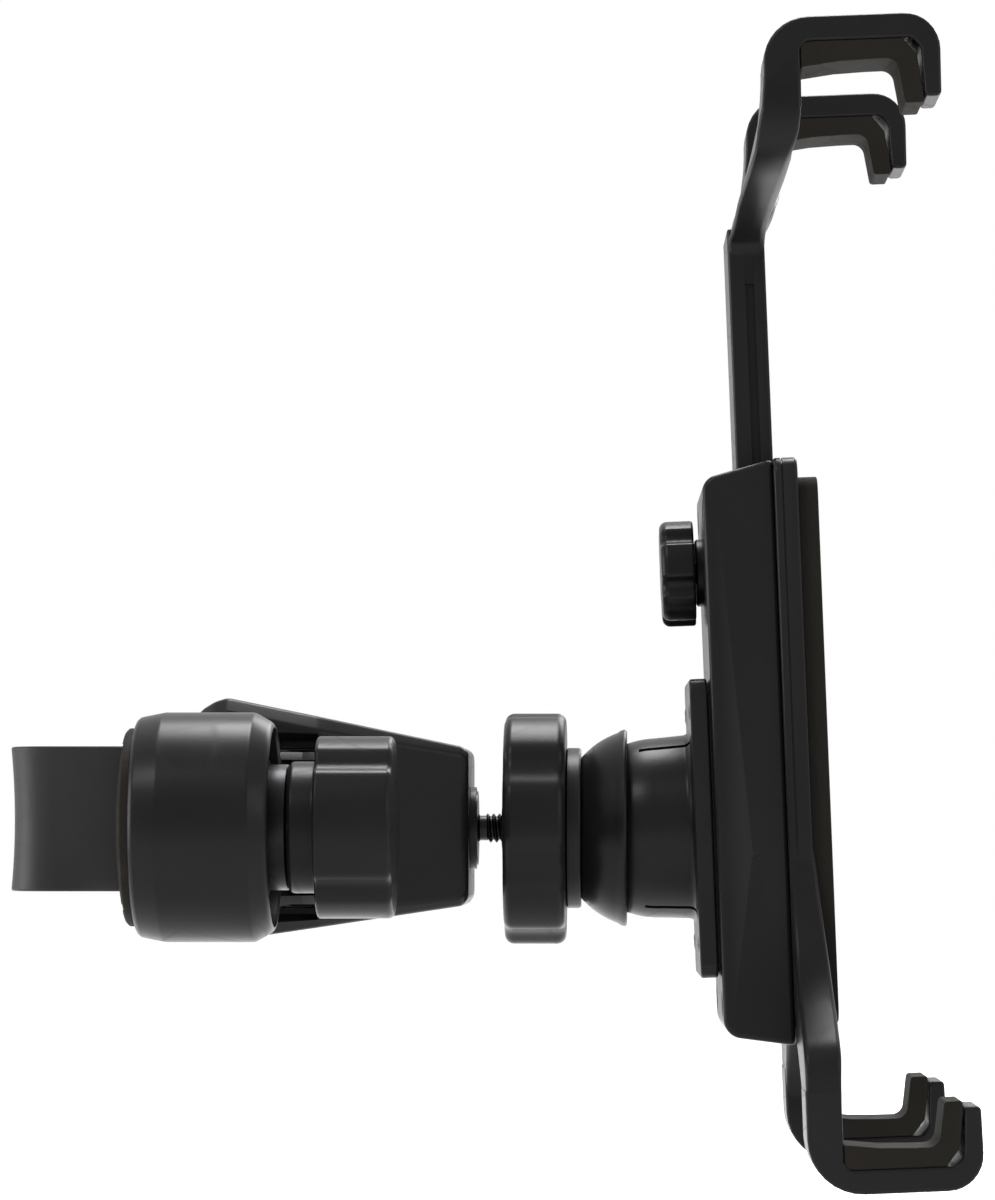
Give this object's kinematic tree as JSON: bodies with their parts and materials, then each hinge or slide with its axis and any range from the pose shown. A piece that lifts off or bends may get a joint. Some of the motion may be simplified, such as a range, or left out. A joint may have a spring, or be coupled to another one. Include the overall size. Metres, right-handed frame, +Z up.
{
  "type": "headrest tablet mount",
  "caption": "Car headrest tablet mount: screw-tightened hooks on swinging arms, a wedge hub, a ball joint with a hand nut, and a lengthening cradle with padded claws",
  "frame": {"origin": "midway between the two headrest posts, at the height of the hooks' threaded rods", "axes": "+X points from the seat to the tablet along the stud, +Z up along the posts, -Y is the left side (near the picture's camera)"},
  "size_m": [0.1975, 0.1864, 0.2422],
  "materials": {
    "black_plastic": "fine textured black moulding",
    "knob_plastic": "satin black moulding",
    "hook_plastic": "smooth satin black moulding",
    "socket_plastic": "plain dark moulding",
    "pad_rubber": "soft matt, slightly brown black",
    "black_steel": "blackened steel",
    "insert_brass": "plain turned brass"
  },
  "bodies": {
    "mount_hub": {"hub": "black_plastic", "left_pivot_pin": "black_steel", "right_pivot_pin": "black_steel", "stud": "black_steel", "ball": "socket_plastic", "stud_nut": "black_steel", "stud_washer": "black_steel", "push_ring": "black_steel"},
    "left_swing_arm": {"left_arm": "black_plastic", "left_grip_pad": "pad_rubber", "left_clamp_washer": "black_steel"},
    "right_swing_arm": {"right_arm": "black_plastic", "right_grip_pad": "pad_rubber", "right_clamp_washer": "black_steel"},
    "left_hook_unit": {"left_hook": "hook_plastic", "left_hook_rod": "black_steel"},
    "right_hook_unit": {"right_hook": "hook_plastic", "right_hook_rod": "black_steel"},
    "left_knob_unit": {"left_clamp_knob": "knob_plastic", "left_knob_nut": "black_steel"},
    "right_knob_unit": {"right_clamp_knob": "knob_plastic", "right_knob_nut": "black_steel"},
    "hand_nut_unit": {"hand_nut": "knob_plastic", "hand_nut_insert": "insert_brass"},
    "cup_unit": {"pressure_cup": "black_plastic", "thrust_ring": "socket_plastic"},
    "cradle": {"socket_base": "black_plastic", "base_screws": "black_steel", "rear_housing": "black_plastic", "housing_screws": "black_steel", "front_plate": "black_plastic", "front_pad": "pad_rubber", "left_lower_lining": "pad_rubber", "right_lower_lining": "pad_rubber", "lock_nut": "black_steel"},
    "slider_unit": {"slider": "black_plastic", "left_upper_lining": "pad_rubber", "right_upper_lining": "pad_rubber"},
    "lock_knob_unit": {"lock_knob": "knob_plastic", "lock_screw": "black_steel"}
  },
  "joints": [
    {"name": "left_arm_swing", "type": "hinge", "parent": "mount_hub", "child": "left_swing_arm", "pos_m": [0.06, -0.009, 0], "axis": [0, 0, 1], "range_deg": [-8, 8]},
    {"name": "right_arm_swing", "type": "hinge", "parent": "mount_hub", "child": "right_swing_arm", "pos_m": [0.06, 0.009, 0], "axis": [0, 0, 1], "range_deg": [-8, 8]},
    {"name": "left_knob_turn", "type": "hinge", "parent": "left_swing_arm", "child": "left_knob_unit", "pos_m": [0.055, -0.07, 0], "axis": [1, 0, 0], "range_deg": [-1150, 1005]},
    {"name": "left_hook_slide", "type": "slide", "parent": "left_swing_arm", "child": "left_hook_unit", "axis": [1, 0, 0], "range_m": [-0.0035, 0.004]},
    {"name": "right_knob_turn", "type": "hinge", "parent": "right_swing_arm", "child": "right_knob_unit", "pos_m": [0.055, 0.07, 0], "axis": [1, 0, 0], "range_deg": [-1150, 1005]},
    {"name": "right_hook_slide", "type": "slide", "parent": "right_swing_arm", "child": "right_hook_unit", "axis": [1, 0, 0], "range_m": [-0.0035, 0.004]},
    {"name": "hand_nut_turn", "type": "hinge", "parent": "mount_hub", "child": "hand_nut_unit", "pos_m": [0.0939, 0, 0], "axis": [1, 0, 0], "range_deg": [-1080, 0]},
    {"name": "ball_spin", "type": "hinge", "parent": "mount_hub", "child": "cup_unit", "pos_m": [0.1205, 0, 0], "axis": [1, 0, 0], "continuous": true},
    {"name": "ball_tilt", "type": "hinge", "parent": "cup_unit", "child": "cradle", "pos_m": [0.1205, 0, 0], "axis": [0, 1, 0], "range_deg": [-12.5, 17]},
    {"name": "slider_extend", "type": "slide", "parent": "cradle", "child": "slider_unit", "axis": [-0.0401, -0.0005, 0.9992], "range_m": [-0.035, 0.035]},
    {"name": "lock_knob_turn", "type": "hinge", "parent": "cradle", "child": "lock_knob_unit", "pos_m": [0.12329, 0.00003, 0.05516], "axis": [0.9991, 0.0122, 0.0401], "range_deg": [-720, 120]}
  ],
  "couplings": [
    {"joint": "left_hook_slide", "follows": "left_knob_turn", "m_per_rad": -0.00019894},
    {"joint": "right_hook_slide", "follows": "right_knob_turn", "m_per_rad": -0.00019894}
  ]
}
